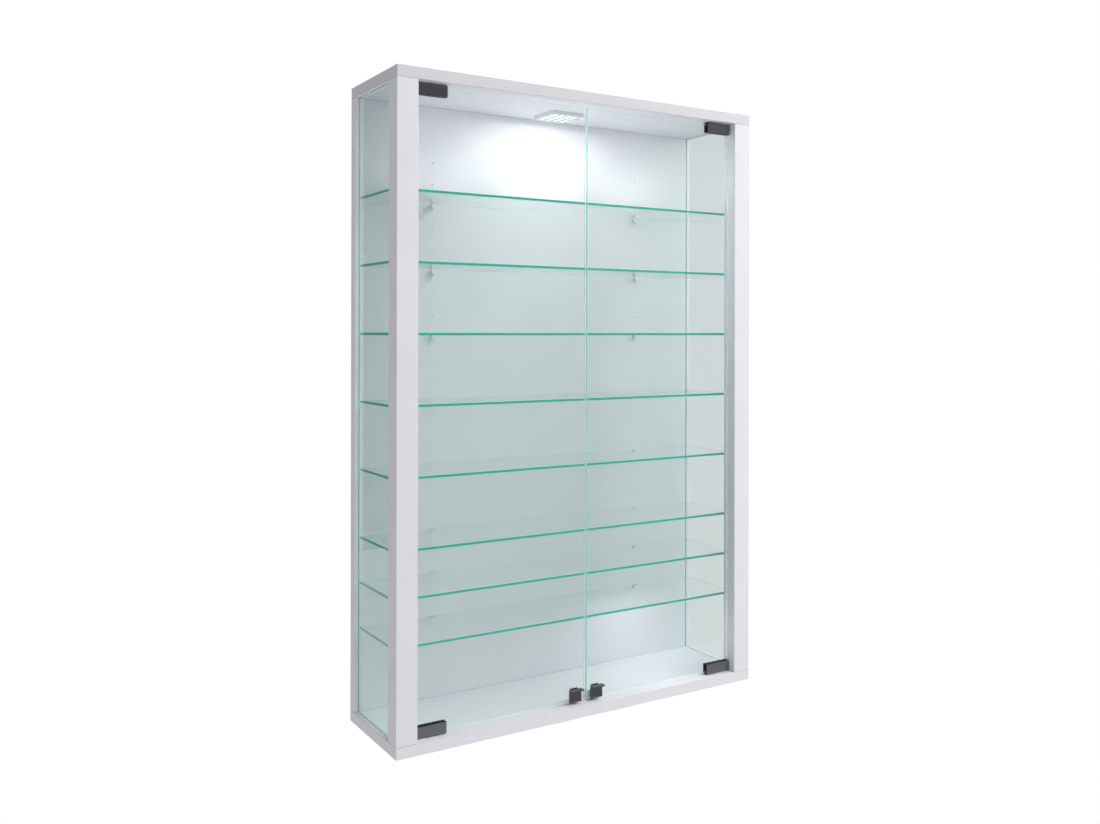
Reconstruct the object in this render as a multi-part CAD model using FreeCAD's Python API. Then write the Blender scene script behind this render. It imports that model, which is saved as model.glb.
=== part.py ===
import FreeCAD, Part
import os

# Wall display cabinet, in millimetres. The origin is the middle of the back, on the wall:
# the wall is the plane y = 0, the doors face -Y, X runs to the right and Z up.

Vector = FreeCAD.Vector
ALONG_X = Vector(1, 0, 0)
ALONG_Y = Vector(0, 1, 0)
ALONG_Z = Vector(0, 0, 1)

# Whole cabinet
width = 600.0
height = 920.0
depth = 180.0
panel_thickness = 16.0
board_edge_round = 0.6
post_width = 30.0
post_depth = 30.0
cut_overrun = 1.0
held_clearance = 0.05       # radial, for what is pressed, glued or screwed into its hole
running_clearance = 0.06    # radial, between a hinge pin and its bush
hole_end_clearance = 0.5    # past the end of a dowel, screw or pane

# Glass
side_glass_thickness = 4.0
side_glass_recess = 6.0     # from the cabinet's side to the outer face of the pane
groove_depth = 6.0
groove_clearance = 0.2      # on each face of the pane
glass_arris = 0.4           # ground corner along every edge of the glass

# Shelves and the rows of holes that carry them
hole_pitch = 32.7
holes_in_row = 23
pin_hole_radius = 1.5
pin_hole_depth = 9.0
back_row_inset = 118.0      # from the cabinet's side to the row in the back
post_row_inset = 20.0       # from the cabinet's side to the row in the post
shelf_holes = (-10, -8, -6, -3, 0, 3, 6, 9)    # hole numbers, counted from the middle one
shelf_thickness = 4.0
shelf_end_clearance = 0.8
shelf_front_clearance = 2.0
shelf_back_clearance = 1.0
support_head_radius = 4.0
support_reach = 8.0
support_seat_height = 3.0   # from the pin's axis up to the shelf

# Doors
door_thickness = 4.0
door_setback = 16.0         # from the cabinet's front to the glass
door_post_gap = 2.0
door_meeting_gap = 3.0
door_panel_gap = 4.0
clamp_pad_thickness = 0.5
clamp_pad_margin = 1.0
clamp_seat_clearance = 0.2  # between the edge of the glass and the clamp
set_screw_radius = 2.0
set_screw_socket = 2.0      # across the flats
set_screw_socket_depth = 1.2

# Door hinges
hinge_length = 44.5
hinge_height = 16.4
hinge_panel_gap = 0.8
hinge_post_gap = 2.5
hinge_front_thickness = 3.4
hinge_back_thickness = 2.4
hinge_corner_round = 2.0
hinge_edge_round = 0.6
hinge_screw_spacing = 24.0
hinge_screw_length = 4.0
pivot_inset = 11.0          # from the post to the axis
pivot_radius = 2.5
pivot_reach = 8.0           # into the panel
bush_wall = 2.0
bush_length = 10.0
bush_flange_radius = 7.0
bush_flange_thickness = 0.6

# Door pulls
pull_inset = 8.0            # from the cabinet's middle to the near side of the pull
pull_width = 20.5
pull_height = 19.5
pull_front_thickness = 1.2
pull_web_thickness = 0.8
pull_tongue_inset = 4.0     # from the near side of the pull to its tongue
pull_tongue_width = 12.0
pull_tongue_thickness = 2.0
pull_lip_reach = 9.5
pull_lip_thickness = 1.6
pull_lip_corner = 3.0
pull_edge_round = 0.4

# Magnetic catch on the bottom panel
catch_depth = 10.5
catch_height = 14.0
catch_end_wall = 1.0
catch_gap = 0.3             # from the closed pull to the catch
catch_edge_round = 0.6
magnet_width = 6.0
magnet_depth = 7.0
magnet_thickness = 5.0
pole_plate_thickness = 1.4
magnet_clearance = 0.1
catch_screw_spacing = 10.0
catch_screw_radius = 1.5
catch_screw_head_radius = 2.6
catch_screw_head_height = 2.0
catch_screw_sink = 3.0      # from the top of the catch down to the seat of the head
catch_screw_length = 20.0

# Lamp under the top panel
lamp_width = 54.0
lamp_depth = 62.0
lamp_height = 6.0
lamp_offset = 3.0           # to the right of the cabinet's middle
lamp_back_distance = 26.0   # from the back to the lamp
lamp_wall = 1.5
lamp_corner_round = 2.0
lens_thickness = 1.2
lens_clearance = 0.2
lens_dome_radius = 4.0
lens_dome_height = 0.9
board_thickness = 1.0
board_side_gap = 2.5        # from the lamp's wall to the board
board_screw_gap = 2.8       # from a screw's head to the board
led_size = 4.0
led_height = 0.9
leds_across = 4
leds_deep = 4
lamp_screw_inset = 5.0
lamp_screw_radius = 1.2
lamp_screw_head_radius = 2.2
lamp_screw_head_height = 1.2
lamp_screw_length = 10.0
cable_hole_radius = 3.0
grommet_wall = 1.5

# Cross-shaped recess in the head of a small screw, in shares of the head's radius
recess_length_share = 1.2
recess_width_share = 0.3
recess_depth_share = 0.35

# Screws and dowels that join the boards
joint_screw_radius = 3.5
joint_screw_length = 50.0
joint_screw_head_radius = 5.0
joint_screw_head_height = 3.0
joint_screw_socket = 4.0
joint_screw_socket_depth = 2.5
joint_dowel_radius = 4.0
joint_dowel_length = 30.0
joint_dowel_in_panel = 10.5
post_screw_offset = 6.0     # outwards from the post's axis
post_dowel_offset = 7.0     # inwards from the post's axis
back_screw_share = 1 / 3    # of the cabinet's width, from its middle
back_dowel_share = 1 / 6

# Keyhole plates for hanging, let into the rear face
hanger_inset = 60.0         # from the cabinet's side to the middle of the plate
hanger_drop = 65.0          # from the cabinet's top to the round hole of the plate
hanger_width = 24.0
hanger_height = 50.0
hanger_thickness = 1.5
hanger_corner_round = 3.0
keyhole_radius = 5.0
keyhole_slot_width = 5.5
keyhole_slot_rise = 10.0    # from the round hole's centre to the seat of the screw
keyhole_below_middle = 4.0
keyhole_pocket_margin = 1.5
keyhole_pocket_depth = 7.0
hanger_screw_inset = 6.0    # from the end of the plate
hanger_screw_radius = 1.6
hanger_screw_head_radius = 3.0
hanger_screw_length = 11.0

# Places that several pieces share
half_width = width / 2
half_height = height / 2
inner_top = half_height - panel_thickness
front = -depth
post_rear = front + post_depth
back_face = -panel_thickness
post_inner = half_width - post_width
pane_outer = half_width - side_glass_recess
pane_inner = pane_outer - side_glass_thickness
door_front = front + door_setback
door_rear = door_front + door_thickness
door_middle = (door_front + door_rear) / 2
door_top = inner_top - door_panel_gap
pivot_x = post_inner - pivot_inset
joint_screw_end = half_height - joint_screw_length
dowel_top = inner_top + joint_dowel_in_panel
dowel_bottom = dowel_top - joint_dowel_length
lamp_middle = back_face - lamp_back_distance - lamp_depth / 2
lamp_bottom = inner_top - lamp_height
hanger_hole_z = half_height - hanger_drop
hanger_middle_z = hanger_hole_z + keyhole_below_middle


def box(x_ends, y_ends, z_ends):
    """A block between two places on each axis."""
    low_corner = Vector(x_ends[0], y_ends[0], z_ends[0])
    size_x = x_ends[1] - x_ends[0]
    size_y = y_ends[1] - y_ends[0]
    size_z = z_ends[1] - z_ends[0]
    return Part.makeBox(size_x, size_y, size_z, low_corner)


def about(middle, size):
    """The two ends of a size that is centred on a place."""
    return (middle - size / 2, middle + size / 2)


def upright_rod(radius, x, y, z_ends):
    """A round rod or hole along Z."""
    return Part.makeCylinder(radius, z_ends[1] - z_ends[0], Vector(x, y, z_ends[0]), ALONG_Z)


def level_rod(radius, x, z, y_ends):
    """A round rod or hole along Y."""
    return Part.makeCylinder(radius, y_ends[1] - y_ends[0], Vector(x, y_ends[0], z), ALONG_Y)


def hexagon_prism(across_flats, start, direction, length):
    """A hexagonal socket that starts at a point and runs in a direction."""
    corner_radius = across_flats / 3 ** 0.5
    turns = [FreeCAD.Rotation(ALONG_Z, 60 * step) for step in range(7)]
    corners = [turn.multVec(Vector(corner_radius, 0, 0)) for turn in turns]
    prism = Part.Face(Part.makePolygon(corners)).extrude(ALONG_Z * length)
    prism.Placement = FreeCAD.Placement(start, FreeCAD.Rotation(ALONG_Z, direction))
    return prism


def cross_recess(head_radius, face_middle, outwards):
    """A slot for a cross-head screwdriver, in the outer face of a screw's head."""
    length_ends = about(0, recess_length_share * head_radius)
    width_ends = about(0, recess_width_share * head_radius)
    depth_ends = (-recess_depth_share * head_radius, cut_overrun)
    one_slot = box(length_ends, width_ends, depth_ends)
    cross = one_slot.fuse(box(width_ends, length_ends, depth_ends))
    cross.Placement = FreeCAD.Placement(face_middle, FreeCAD.Rotation(ALONG_Z, outwards))
    return cross


def mirrored_x(shape):
    return shape.mirror(Vector(), ALONG_X)


def mirrored_z(shape):
    return shape.mirror(Vector(), ALONG_Z)


def on_both_sides(shape):
    return [shape, mirrored_x(shape)]


def at_both_ends(shapes):
    return shapes + [mirrored_z(shape) for shape in shapes]


def edges_along(shape, direction):
    """The straight edges of a shape that run along an axis."""
    tolerance = 1e-6
    found = []
    for edge in shape.Edges:
        ends = [vertex.Point for vertex in edge.Vertexes]
        if len(ends) == 2 and (ends[1] - ends[0]).cross(direction).Length < tolerance:
            found.append(edge)
    return found


def edges_of_face_at_y(shape, y):
    """The edges that lie wholly on the plane of one y."""
    tolerance = 1e-6
    found = []
    for edge in shape.Edges:
        bounds = edge.BoundBox
        if abs(bounds.YMin - y) < tolerance and abs(bounds.YMax - y) < tolerance:
            found.append(edge)
    return found


def glass_sheet(x_ends, y_ends, z_ends):
    """A sheet of glass with its sharp corners ground off."""
    sheet = box(x_ends, y_ends, z_ends)
    return sheet.makeChamfer(glass_arris, sheet.Edges)


def save(name, shape):
    shape.exportStep("parts/" + name + ".step")


# Joints between the boards. Each end of a post takes one screw and one dowel, and each
# long edge of the back takes three screws and two dowels. Made at the top right.
def joint_places():
    """X and Y of the screws and of the dowels in the top panel."""
    post_x = half_width - post_width / 2
    post_y = front + post_depth / 2
    back_y = back_face / 2
    screws = [(0, back_y)]
    dowels = []
    for sign in (1, -1):
        screws.append((sign * (post_x + post_screw_offset), post_y))
        screws.append((sign * back_screw_share * width, back_y))
        dowels.append((sign * (post_x - post_dowel_offset), post_y))
        dowels.append((sign * back_dowel_share * width, back_y))
    return screws, dowels


def joint_holes():
    """What the screws and dowels take away from the boards at the top."""
    screws, dowels = joint_places()
    holes = []
    for x, y in screws:
        shank_ends = (joint_screw_end - hole_end_clearance, half_height + cut_overrun)
        head_ends = (half_height - joint_screw_head_height, half_height + cut_overrun)
        holes.append(upright_rod(joint_screw_radius + held_clearance, x, y, shank_ends))
        holes.append(upright_rod(joint_screw_head_radius + held_clearance, x, y, head_ends))
    for x, y in dowels:
        ends = (dowel_bottom - hole_end_clearance, dowel_top + hole_end_clearance)
        holes.append(upright_rod(joint_dowel_radius + held_clearance, x, y, ends))
    return holes


def joint_screw(x, y):
    shank = upright_rod(joint_screw_radius, x, y, (joint_screw_end, half_height))
    head_ends = (half_height - joint_screw_head_height, half_height)
    head = upright_rod(joint_screw_head_radius, x, y, head_ends)
    socket_start = Vector(x, y, half_height - joint_screw_socket_depth)
    socket_length = joint_screw_socket_depth + cut_overrun
    socket = hexagon_prism(joint_screw_socket, socket_start, ALONG_Z, socket_length)
    return shank.fuse(head).cut(socket).removeSplitter()


def joint_screws():
    screws, _ = joint_places()
    return at_both_ends([joint_screw(x, y) for x, y in screws])


def joint_dowels():
    _, dowels = joint_places()
    rods = [upright_rod(joint_dowel_radius, x, y, (dowel_bottom, dowel_top)) for x, y in dowels]
    return at_both_ends(rods)


# Rows of holes for the shelf supports
def row_heights():
    middle_hole = holes_in_row // 2
    return [(number - middle_hole) * hole_pitch for number in range(holes_in_row)]


post_row_x = half_width - post_row_inset
back_row_x = half_width - back_row_inset


def post_row_holes():
    ends = (post_rear - pin_hole_depth, post_rear + cut_overrun)
    return [level_rod(pin_hole_radius, post_row_x, z, ends) for z in row_heights()]


def back_row_holes():
    ends = (back_face - cut_overrun, back_face + pin_hole_depth)
    return [level_rod(pin_hole_radius, back_row_x, z, ends) for z in row_heights()]


# Groove that holds the side pane on all four sides: one frame-shaped cut serves the
# top, the bottom, the post and the back.
def pane_groove():
    x_ends = (pane_inner - groove_clearance, pane_outer + groove_clearance)
    y_ends = (post_rear - groove_depth, back_face + groove_depth)
    z_top = inner_top + groove_depth
    return box(x_ends, y_ends, (-z_top, z_top))


def side_glass():
    end_clearance = hole_end_clearance
    y_ends = (post_rear - groove_depth + end_clearance, back_face + groove_depth - end_clearance)
    z_top = inner_top + groove_depth - end_clearance
    return glass_sheet((pane_inner, pane_outer), y_ends, (-z_top, z_top))


# Top and bottom panels
def bush_hole():
    radius = pivot_radius + running_clearance + bush_wall + held_clearance
    z_ends = (inner_top - cut_overrun, inner_top + bush_length + hole_end_clearance)
    return upright_rod(radius, pivot_x, door_middle, z_ends)


def cover_panel():
    """The top panel without the holes that only the top or only the bottom has."""
    slab = box((-half_width, half_width), (front, 0), (inner_top, half_height))
    slab = slab.makeFillet(board_edge_round, slab.Edges)
    cuts = on_both_sides(pane_groove()) + on_both_sides(bush_hole()) + joint_holes()
    return slab.cut(cuts)


def top_panel():
    hole_radius = cable_hole_radius + grommet_wall + held_clearance
    hole_ends = (inner_top - cut_overrun, half_height + cut_overrun)
    cable_hole = upright_rod(hole_radius, lamp_offset, lamp_middle, hole_ends)
    return cover_panel().cut([cable_hole] + lamp_screw_holes())


def bottom_panel():
    return mirrored_z(cover_panel()).cut(catch_screw_holes())


# Front posts
def right_front_post():
    post = box((post_inner, half_width), (front, post_rear), (-inner_top, inner_top))
    post = post.makeFillet(board_edge_round, edges_along(post, ALONG_Z))
    cuts = [pane_groove()] + post_row_holes() + at_both_ends(joint_holes())
    return post.cut(cuts)


# Back panel
def back_panel():
    slab = box((-half_width, half_width), (back_face, 0), (-inner_top, inner_top))
    slab = slab.makeFillet(board_edge_round, edges_along(slab, ALONG_Z))
    right_cuts = [pane_groove()] + back_row_holes() + hanger_cuts()
    cuts = right_cuts + [mirrored_x(cut) for cut in right_cuts] + at_both_ends(joint_holes())
    return slab.cut(cuts)


# Shelves and their supports
def shelf_underside(hole_number):
    return hole_number * hole_pitch + support_seat_height


def glass_shelf(hole_number):
    half_length = pane_inner - shelf_end_clearance
    y_ends = (post_rear + shelf_front_clearance, back_face - shelf_back_clearance)
    underside = shelf_underside(hole_number)
    return glass_sheet((-half_length, half_length), y_ends, (underside, underside + shelf_thickness))


def shelf_support(x, z, face, outwards):
    """A pin that stands out of a face at one y, with a head cut flat under the shelf."""
    hidden_end = face - outwards * (pin_hole_depth - hole_end_clearance)
    free_end = face + outwards * support_reach
    stub = level_rod(pin_hole_radius - held_clearance, x, z, sorted((hidden_end, face)))
    head = level_rod(support_head_radius, x, z, sorted((face, free_end)))
    above = z + support_seat_height
    top_ends = (above, above + support_head_radius)
    top_cut = box(about(x, 2 * support_head_radius), sorted((face, free_end)), top_ends)
    return stub.fuse(head).cut(top_cut)


def back_shelf_supports():
    pins = [shelf_support(back_row_x, n * hole_pitch, back_face, -1) for n in shelf_holes]
    return pins + [mirrored_x(pin) for pin in pins]


def front_shelf_supports():
    pins = [shelf_support(post_row_x, n * hole_pitch, post_rear, 1) for n in shelf_holes]
    return pins + [mirrored_x(pin) for pin in pins]


# Doors, made on the right. Each pane is clamped by a hinge at its two outer corners.
def door_glass():
    x_ends = (door_meeting_gap / 2, post_inner - door_post_gap)
    return glass_sheet(x_ends, (door_front, door_rear), (-door_top, door_top))


hinge_x_ends = (post_inner - hinge_post_gap - hinge_length, post_inner - hinge_post_gap)
hinge_z_ends = (inner_top - hinge_panel_gap - hinge_height, inner_top - hinge_panel_gap)
hinge_web_z = door_top + clamp_seat_clearance
clamp_y_ends = (door_front - clamp_pad_thickness, door_rear + clamp_pad_thickness)
hinge_y_ends = (clamp_y_ends[0] - hinge_front_thickness, clamp_y_ends[1] + hinge_back_thickness)
hinge_screw_z = (hinge_z_ends[0] + door_top) / 2


def hinge_screw_places():
    return about(sum(hinge_x_ends) / 2, hinge_screw_spacing)


def upper_hinge_clip():
    """A channel that grips the top edge of the glass, closed at the side of the panel."""
    block = box(hinge_x_ends, hinge_y_ends, hinge_z_ends)
    panel_side = [edge for edge in edges_along(block, ALONG_Y)
                  if edge.CenterOfMass.z > hinge_screw_z]
    block = block.makeFillet(hinge_corner_round, panel_side)
    block = block.makeFillet(hinge_edge_round, edges_of_face_at_y(block, hinge_y_ends[0]))
    channel_x = (hinge_x_ends[0] - cut_overrun, hinge_x_ends[1] + cut_overrun)
    channel = box(channel_x, clamp_y_ends, (hinge_z_ends[0] - cut_overrun, hinge_web_z))
    pin_ends = (hinge_web_z - cut_overrun, hinge_z_ends[1] + cut_overrun)
    pin_hole = upright_rod(pivot_radius + held_clearance, pivot_x, door_middle, pin_ends)
    screw_ends = (clamp_y_ends[1] - cut_overrun, hinge_y_ends[1] + cut_overrun)
    screw_radius = set_screw_radius + held_clearance
    screw_holes = [level_rod(screw_radius, x, hinge_screw_z, screw_ends)
                   for x in hinge_screw_places()]
    return block.cut([channel, pin_hole] + screw_holes)


def upper_hinge_pin():
    return upright_rod(pivot_radius, pivot_x, door_middle, (hinge_web_z, inner_top + pivot_reach))


def upper_hinge_bush():
    outer_radius = pivot_radius + running_clearance + bush_wall
    sleeve = upright_rod(outer_radius, pivot_x, door_middle, (inner_top, inner_top + bush_length))
    flange_ends = (inner_top - bush_flange_thickness, inner_top)
    flange = upright_rod(bush_flange_radius, pivot_x, door_middle, flange_ends)
    bore_ends = (flange_ends[0] - cut_overrun, inner_top + bush_length + cut_overrun)
    bore = upright_rod(pivot_radius + running_clearance, pivot_x, door_middle, bore_ends)
    return sleeve.fuse(flange).cut(bore).removeSplitter()


def clamp_pads(x_ends, z_ends):
    """The soft pads in front of the glass and behind it."""
    front_pad = box(x_ends, (clamp_y_ends[0], door_front), z_ends)
    rear_pad = box(x_ends, (door_rear, clamp_y_ends[1]), z_ends)
    return [front_pad, rear_pad]


def upper_hinge_pads():
    x_ends = (hinge_x_ends[0] + clamp_pad_margin, hinge_x_ends[1] - clamp_pad_margin)
    z_ends = (hinge_z_ends[0] + clamp_pad_margin, door_top - clamp_pad_margin)
    return clamp_pads(x_ends, z_ends)


def set_screw(x, z, rear):
    """A headless screw that presses on the rear pad, with a hexagon socket behind."""
    screw = level_rod(set_screw_radius, x, z, (clamp_y_ends[1], rear))
    socket_start = Vector(x, rear - set_screw_socket_depth, z)
    socket_length = set_screw_socket_depth + cut_overrun
    return screw.cut(hexagon_prism(set_screw_socket, socket_start, ALONG_Y, socket_length))


def upper_hinge_set_screws():
    rear = clamp_y_ends[1] + hinge_screw_length
    return [set_screw(x, hinge_screw_z, rear) for x in hinge_screw_places()]


# Finger pull at the foot of each door: a front leaf with a lip that stands out at its
# top, and behind the glass a narrower tongue, the strike for the magnetic catch.
pull_x_ends = (pull_inset, pull_inset + pull_width)
tongue_start = pull_inset + pull_tongue_inset
tongue_x_ends = (tongue_start, tongue_start + pull_tongue_width)
tongue_middle = tongue_start + pull_tongue_width / 2
pull_front = clamp_y_ends[0] - pull_front_thickness
pull_rear = clamp_y_ends[1] + pull_tongue_thickness
pull_web_top = -door_top - clamp_seat_clearance
pull_bottom = pull_web_top - pull_web_thickness
pull_top = pull_bottom + pull_height
pull_screw_z = (pull_top - door_top) / 2


def door_pull():
    leaf = box(pull_x_ends, (pull_front, clamp_y_ends[0]), (pull_bottom, pull_top))
    leaf = leaf.makeFillet(pull_edge_round, edges_of_face_at_y(leaf, pull_front))
    lip_y_ends = (pull_front - pull_lip_reach, clamp_y_ends[0])
    lip = box(pull_x_ends, lip_y_ends, (pull_top - pull_lip_thickness, pull_top))
    lip_corners = [edge for edge in edges_along(lip, ALONG_Z)
                   if edge.CenterOfMass.y < pull_front]
    lip = lip.makeFillet(pull_lip_corner, lip_corners)
    tongue = box(tongue_x_ends, (clamp_y_ends[1], pull_rear), (pull_bottom, pull_top))
    web = box(tongue_x_ends, clamp_y_ends, (pull_bottom, pull_web_top))
    screw_ends = (clamp_y_ends[1] - cut_overrun, pull_rear + cut_overrun)
    screw_radius = set_screw_radius + held_clearance
    screw_hole = level_rod(screw_radius, tongue_middle, pull_screw_z, screw_ends)
    return leaf.fuse([lip, tongue, web]).removeSplitter().cut(screw_hole)


def pull_pads():
    x_ends = about(tongue_middle, pull_tongue_width - 2 * clamp_pad_margin)
    z_ends = (-door_top + clamp_pad_margin, pull_top - clamp_pad_margin)
    return clamp_pads(x_ends, z_ends)


def pull_set_screw():
    return set_screw(tongue_middle, pull_screw_z, pull_rear)


# Magnetic catch, one block for both doors. Each magnet lies between two steel plates and
# faces the tongue of a pull.
catch_front = pull_rear + catch_gap
catch_y_ends = (catch_front, catch_front + catch_depth)
catch_top = -inner_top + catch_height
catch_magnet_z = (-inner_top + catch_top) / 2
catch_screw_seat = catch_top - catch_screw_sink
catch_screw_tip = catch_screw_seat - catch_screw_length
magnet_x_ends = (tongue_start, tongue_start + magnet_width)
catch_end = magnet_x_ends[1] + catch_end_wall


def catch_screw_places():
    """X and Y of the catch's two screws."""
    return [(x, sum(catch_y_ends) / 2) for x in about(0, catch_screw_spacing)]


def catch_screw_rods(radius, z_ends):
    return [upright_rod(radius, x, y, z_ends) for x, y in catch_screw_places()]


def catch_screw_holes():
    """Holes for the two screws, in the catch and in the bottom panel."""
    ends = (catch_screw_tip - hole_end_clearance, catch_top + cut_overrun)
    return catch_screw_rods(catch_screw_radius + held_clearance, ends)


def catch_body():
    block = box((-catch_end, catch_end), catch_y_ends, (-inner_top, catch_top))
    block = block.makeFillet(catch_edge_round, edges_along(block, ALONG_Z))
    pocket_x = (magnet_x_ends[0] - magnet_clearance, magnet_x_ends[1] + magnet_clearance)
    pocket_y = (catch_front - cut_overrun, catch_front + magnet_depth + magnet_clearance)
    stack_height = magnet_thickness + 2 * pole_plate_thickness + 2 * magnet_clearance
    pocket = box(pocket_x, pocket_y, about(catch_magnet_z, stack_height))
    head_ends = (catch_screw_seat, catch_top + cut_overrun)
    head_holes = catch_screw_rods(catch_screw_head_radius + held_clearance, head_ends)
    return block.cut(on_both_sides(pocket) + catch_screw_holes() + head_holes)


def catch_magnets():
    y_ends = (catch_front, catch_front + magnet_depth)
    return on_both_sides(box(magnet_x_ends, y_ends, about(catch_magnet_z, magnet_thickness)))


def catch_pole_plates():
    y_ends = (catch_front, catch_front + magnet_depth)
    z_inner = catch_magnet_z + magnet_thickness / 2
    upper = box(magnet_x_ends, y_ends, (z_inner, z_inner + pole_plate_thickness))
    lower = upper.copy()
    lower.translate(ALONG_Z * -(magnet_thickness + pole_plate_thickness))
    return on_both_sides(upper) + on_both_sides(lower)


def catch_screws():
    screws = []
    head_top = catch_screw_seat + catch_screw_head_height
    for x, y in catch_screw_places():
        shank = upright_rod(catch_screw_radius, x, y, (catch_screw_tip, catch_screw_seat))
        head = upright_rod(catch_screw_head_radius, x, y, (catch_screw_seat, head_top))
        recess = cross_recess(catch_screw_head_radius, Vector(x, y, head_top), ALONG_Z)
        screws.append(shank.fuse(head).cut(recess))
    return screws


# Lamp: an open tray under the top panel with a board of lights behind a clear lens
lamp_x_ends = about(lamp_offset, lamp_width)
lamp_y_ends = about(lamp_middle, lamp_depth)
lamp_ceiling = inner_top - lamp_wall
board_bottom = lamp_ceiling - board_thickness
board_width = lamp_width - 2 * (lamp_wall + board_side_gap)
board_depth = lamp_depth - 2 * (lamp_screw_inset + lamp_screw_head_radius + board_screw_gap)


def lamp_opening(clearance, z_ends):
    """The space between the lamp's walls, drawn in by a clearance."""
    inset = lamp_wall + clearance
    x_ends = (lamp_x_ends[0] + inset, lamp_x_ends[1] - inset)
    y_ends = (lamp_y_ends[0] + inset, lamp_y_ends[1] - inset)
    return box(x_ends, y_ends, z_ends)


def lamp_screw_places():
    return (lamp_y_ends[0] + lamp_screw_inset, lamp_y_ends[1] - lamp_screw_inset)


def lamp_screw_holes():
    ends = (lamp_ceiling - cut_overrun, lamp_ceiling + lamp_screw_length + hole_end_clearance)
    radius = lamp_screw_radius + held_clearance
    return [upright_rod(radius, lamp_offset, y, ends) for y in lamp_screw_places()]


def lamp_cable_hole(z_ends):
    return upright_rod(cable_hole_radius, lamp_offset, lamp_middle, z_ends)


def lamp_housing():
    tray = box(lamp_x_ends, lamp_y_ends, (lamp_bottom, inner_top))
    tray = tray.makeFillet(lamp_corner_round, edges_along(tray, ALONG_Z))
    inside = lamp_opening(0, (lamp_bottom - cut_overrun, lamp_ceiling))
    cable_hole = lamp_cable_hole((lamp_ceiling - cut_overrun, inner_top + cut_overrun))
    return tray.cut([inside, cable_hole] + lamp_screw_holes())


def lamp_led_places():
    """X and Y of the lights, spread evenly over the board."""
    places = []
    for column in range(leds_across):
        for row in range(leds_deep):
            x = lamp_offset + ((column + 0.5) / leds_across - 0.5) * board_width
            y = lamp_middle + ((row + 0.5) / leds_deep - 0.5) * board_depth
            places.append((x, y))
    return places


def lamp_lens():
    """A clear plate with a shallow dome under each light, level with the rim of the tray."""
    underside = lamp_bottom + lens_dome_height
    plate = lamp_opening(lens_clearance, (underside, underside + lens_thickness))
    ball_radius = (lens_dome_radius ** 2 + lens_dome_height ** 2) / (2 * lens_dome_height)
    below = lamp_opening(lens_clearance, (lamp_bottom, underside))
    domes = []
    for x, y in lamp_led_places():
        ball = Part.makeSphere(ball_radius, Vector(x, y, lamp_bottom + ball_radius))
        domes.append(ball.common(below))
    return plate.fuse(domes).removeSplitter()


def lamp_board():
    x_ends = about(lamp_offset, board_width)
    y_ends = about(lamp_middle, board_depth)
    return box(x_ends, y_ends, (board_bottom, lamp_ceiling))


def lamp_leds():
    z_ends = (board_bottom - led_height, board_bottom)
    return [box(about(x, led_size), about(y, led_size), z_ends) for x, y in lamp_led_places()]


def lamp_screws():
    screws = []
    head_bottom = lamp_ceiling - lamp_screw_head_height
    for y in lamp_screw_places():
        shank_ends = (lamp_ceiling, lamp_ceiling + lamp_screw_length)
        shank = upright_rod(lamp_screw_radius, lamp_offset, y, shank_ends)
        head = upright_rod(lamp_screw_head_radius, lamp_offset, y, (head_bottom, lamp_ceiling))
        recess_place = Vector(lamp_offset, y, head_bottom)
        recess = cross_recess(lamp_screw_head_radius, recess_place, -ALONG_Z)
        screws.append(shank.fuse(head).cut(recess))
    return screws


def lamp_cable_grommet():
    outer = upright_rod(cable_hole_radius + grommet_wall, lamp_offset, lamp_middle,
                        (inner_top, half_height))
    return outer.cut(lamp_cable_hole((inner_top - cut_overrun, half_height + cut_overrun)))


# Wall hangers: a flush plate with a keyhole over a pocket for the head of the wall screw
hanger_x = half_width - hanger_inset


def hanger_screw_places():
    return about(hanger_middle_z, hanger_height - 2 * hanger_screw_inset)


def hanger_screw(z, clearance, end_clearance):
    """A countersunk screw from the wall side, or the hole for it with clearances added."""
    shank_ends = (-hanger_screw_length - end_clearance, 0)
    shank = level_rod(hanger_screw_radius + clearance, hanger_x, z, shank_ends)
    head = Part.makeCone(hanger_screw_radius + clearance, hanger_screw_head_radius + clearance,
                         hanger_thickness, Vector(hanger_x, -hanger_thickness, z), ALONG_Y)
    return shank.fuse(head)


def hanger_holes():
    return [hanger_screw(z, held_clearance, hole_end_clearance) for z in hanger_screw_places()]


def keyhole(extra, y_ends):
    """A round hole with a narrower slot rising from it, widened all round by an extra."""
    slot_radius = keyhole_slot_width / 2 + extra
    seat_z = hanger_hole_z + keyhole_slot_rise
    entry = level_rod(keyhole_radius + extra, hanger_x, hanger_hole_z, y_ends)
    seat = level_rod(slot_radius, hanger_x, seat_z, y_ends)
    slot = box(about(hanger_x, 2 * slot_radius), y_ends, (hanger_hole_z, seat_z))
    return entry.fuse([seat, slot])


def hanger_plate(clearance, y_ends):
    x_ends = about(hanger_x, hanger_width + 2 * clearance)
    z_ends = about(hanger_middle_z, hanger_height + 2 * clearance)
    plate = box(x_ends, y_ends, z_ends)
    return plate.makeFillet(hanger_corner_round, edges_along(plate, ALONG_Y))


def hanger_cuts():
    """What one hanger takes away from the back panel."""
    recess = hanger_plate(held_clearance, (-hanger_thickness, cut_overrun))
    head_room = keyhole_radius + keyhole_pocket_margin
    pocket_x = about(hanger_x, 2 * head_room)
    pocket_z = (hanger_hole_z - head_room, hanger_hole_z + keyhole_slot_rise + head_room)
    pocket_y = (-hanger_thickness - keyhole_pocket_depth, cut_overrun)
    return [recess, box(pocket_x, pocket_y, pocket_z)] + hanger_holes()


def wall_hanger():
    plate = hanger_plate(0, (-hanger_thickness, 0))
    opening = keyhole(0, (-hanger_thickness - cut_overrun, cut_overrun))
    return plate.cut([opening] + hanger_holes())


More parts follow.
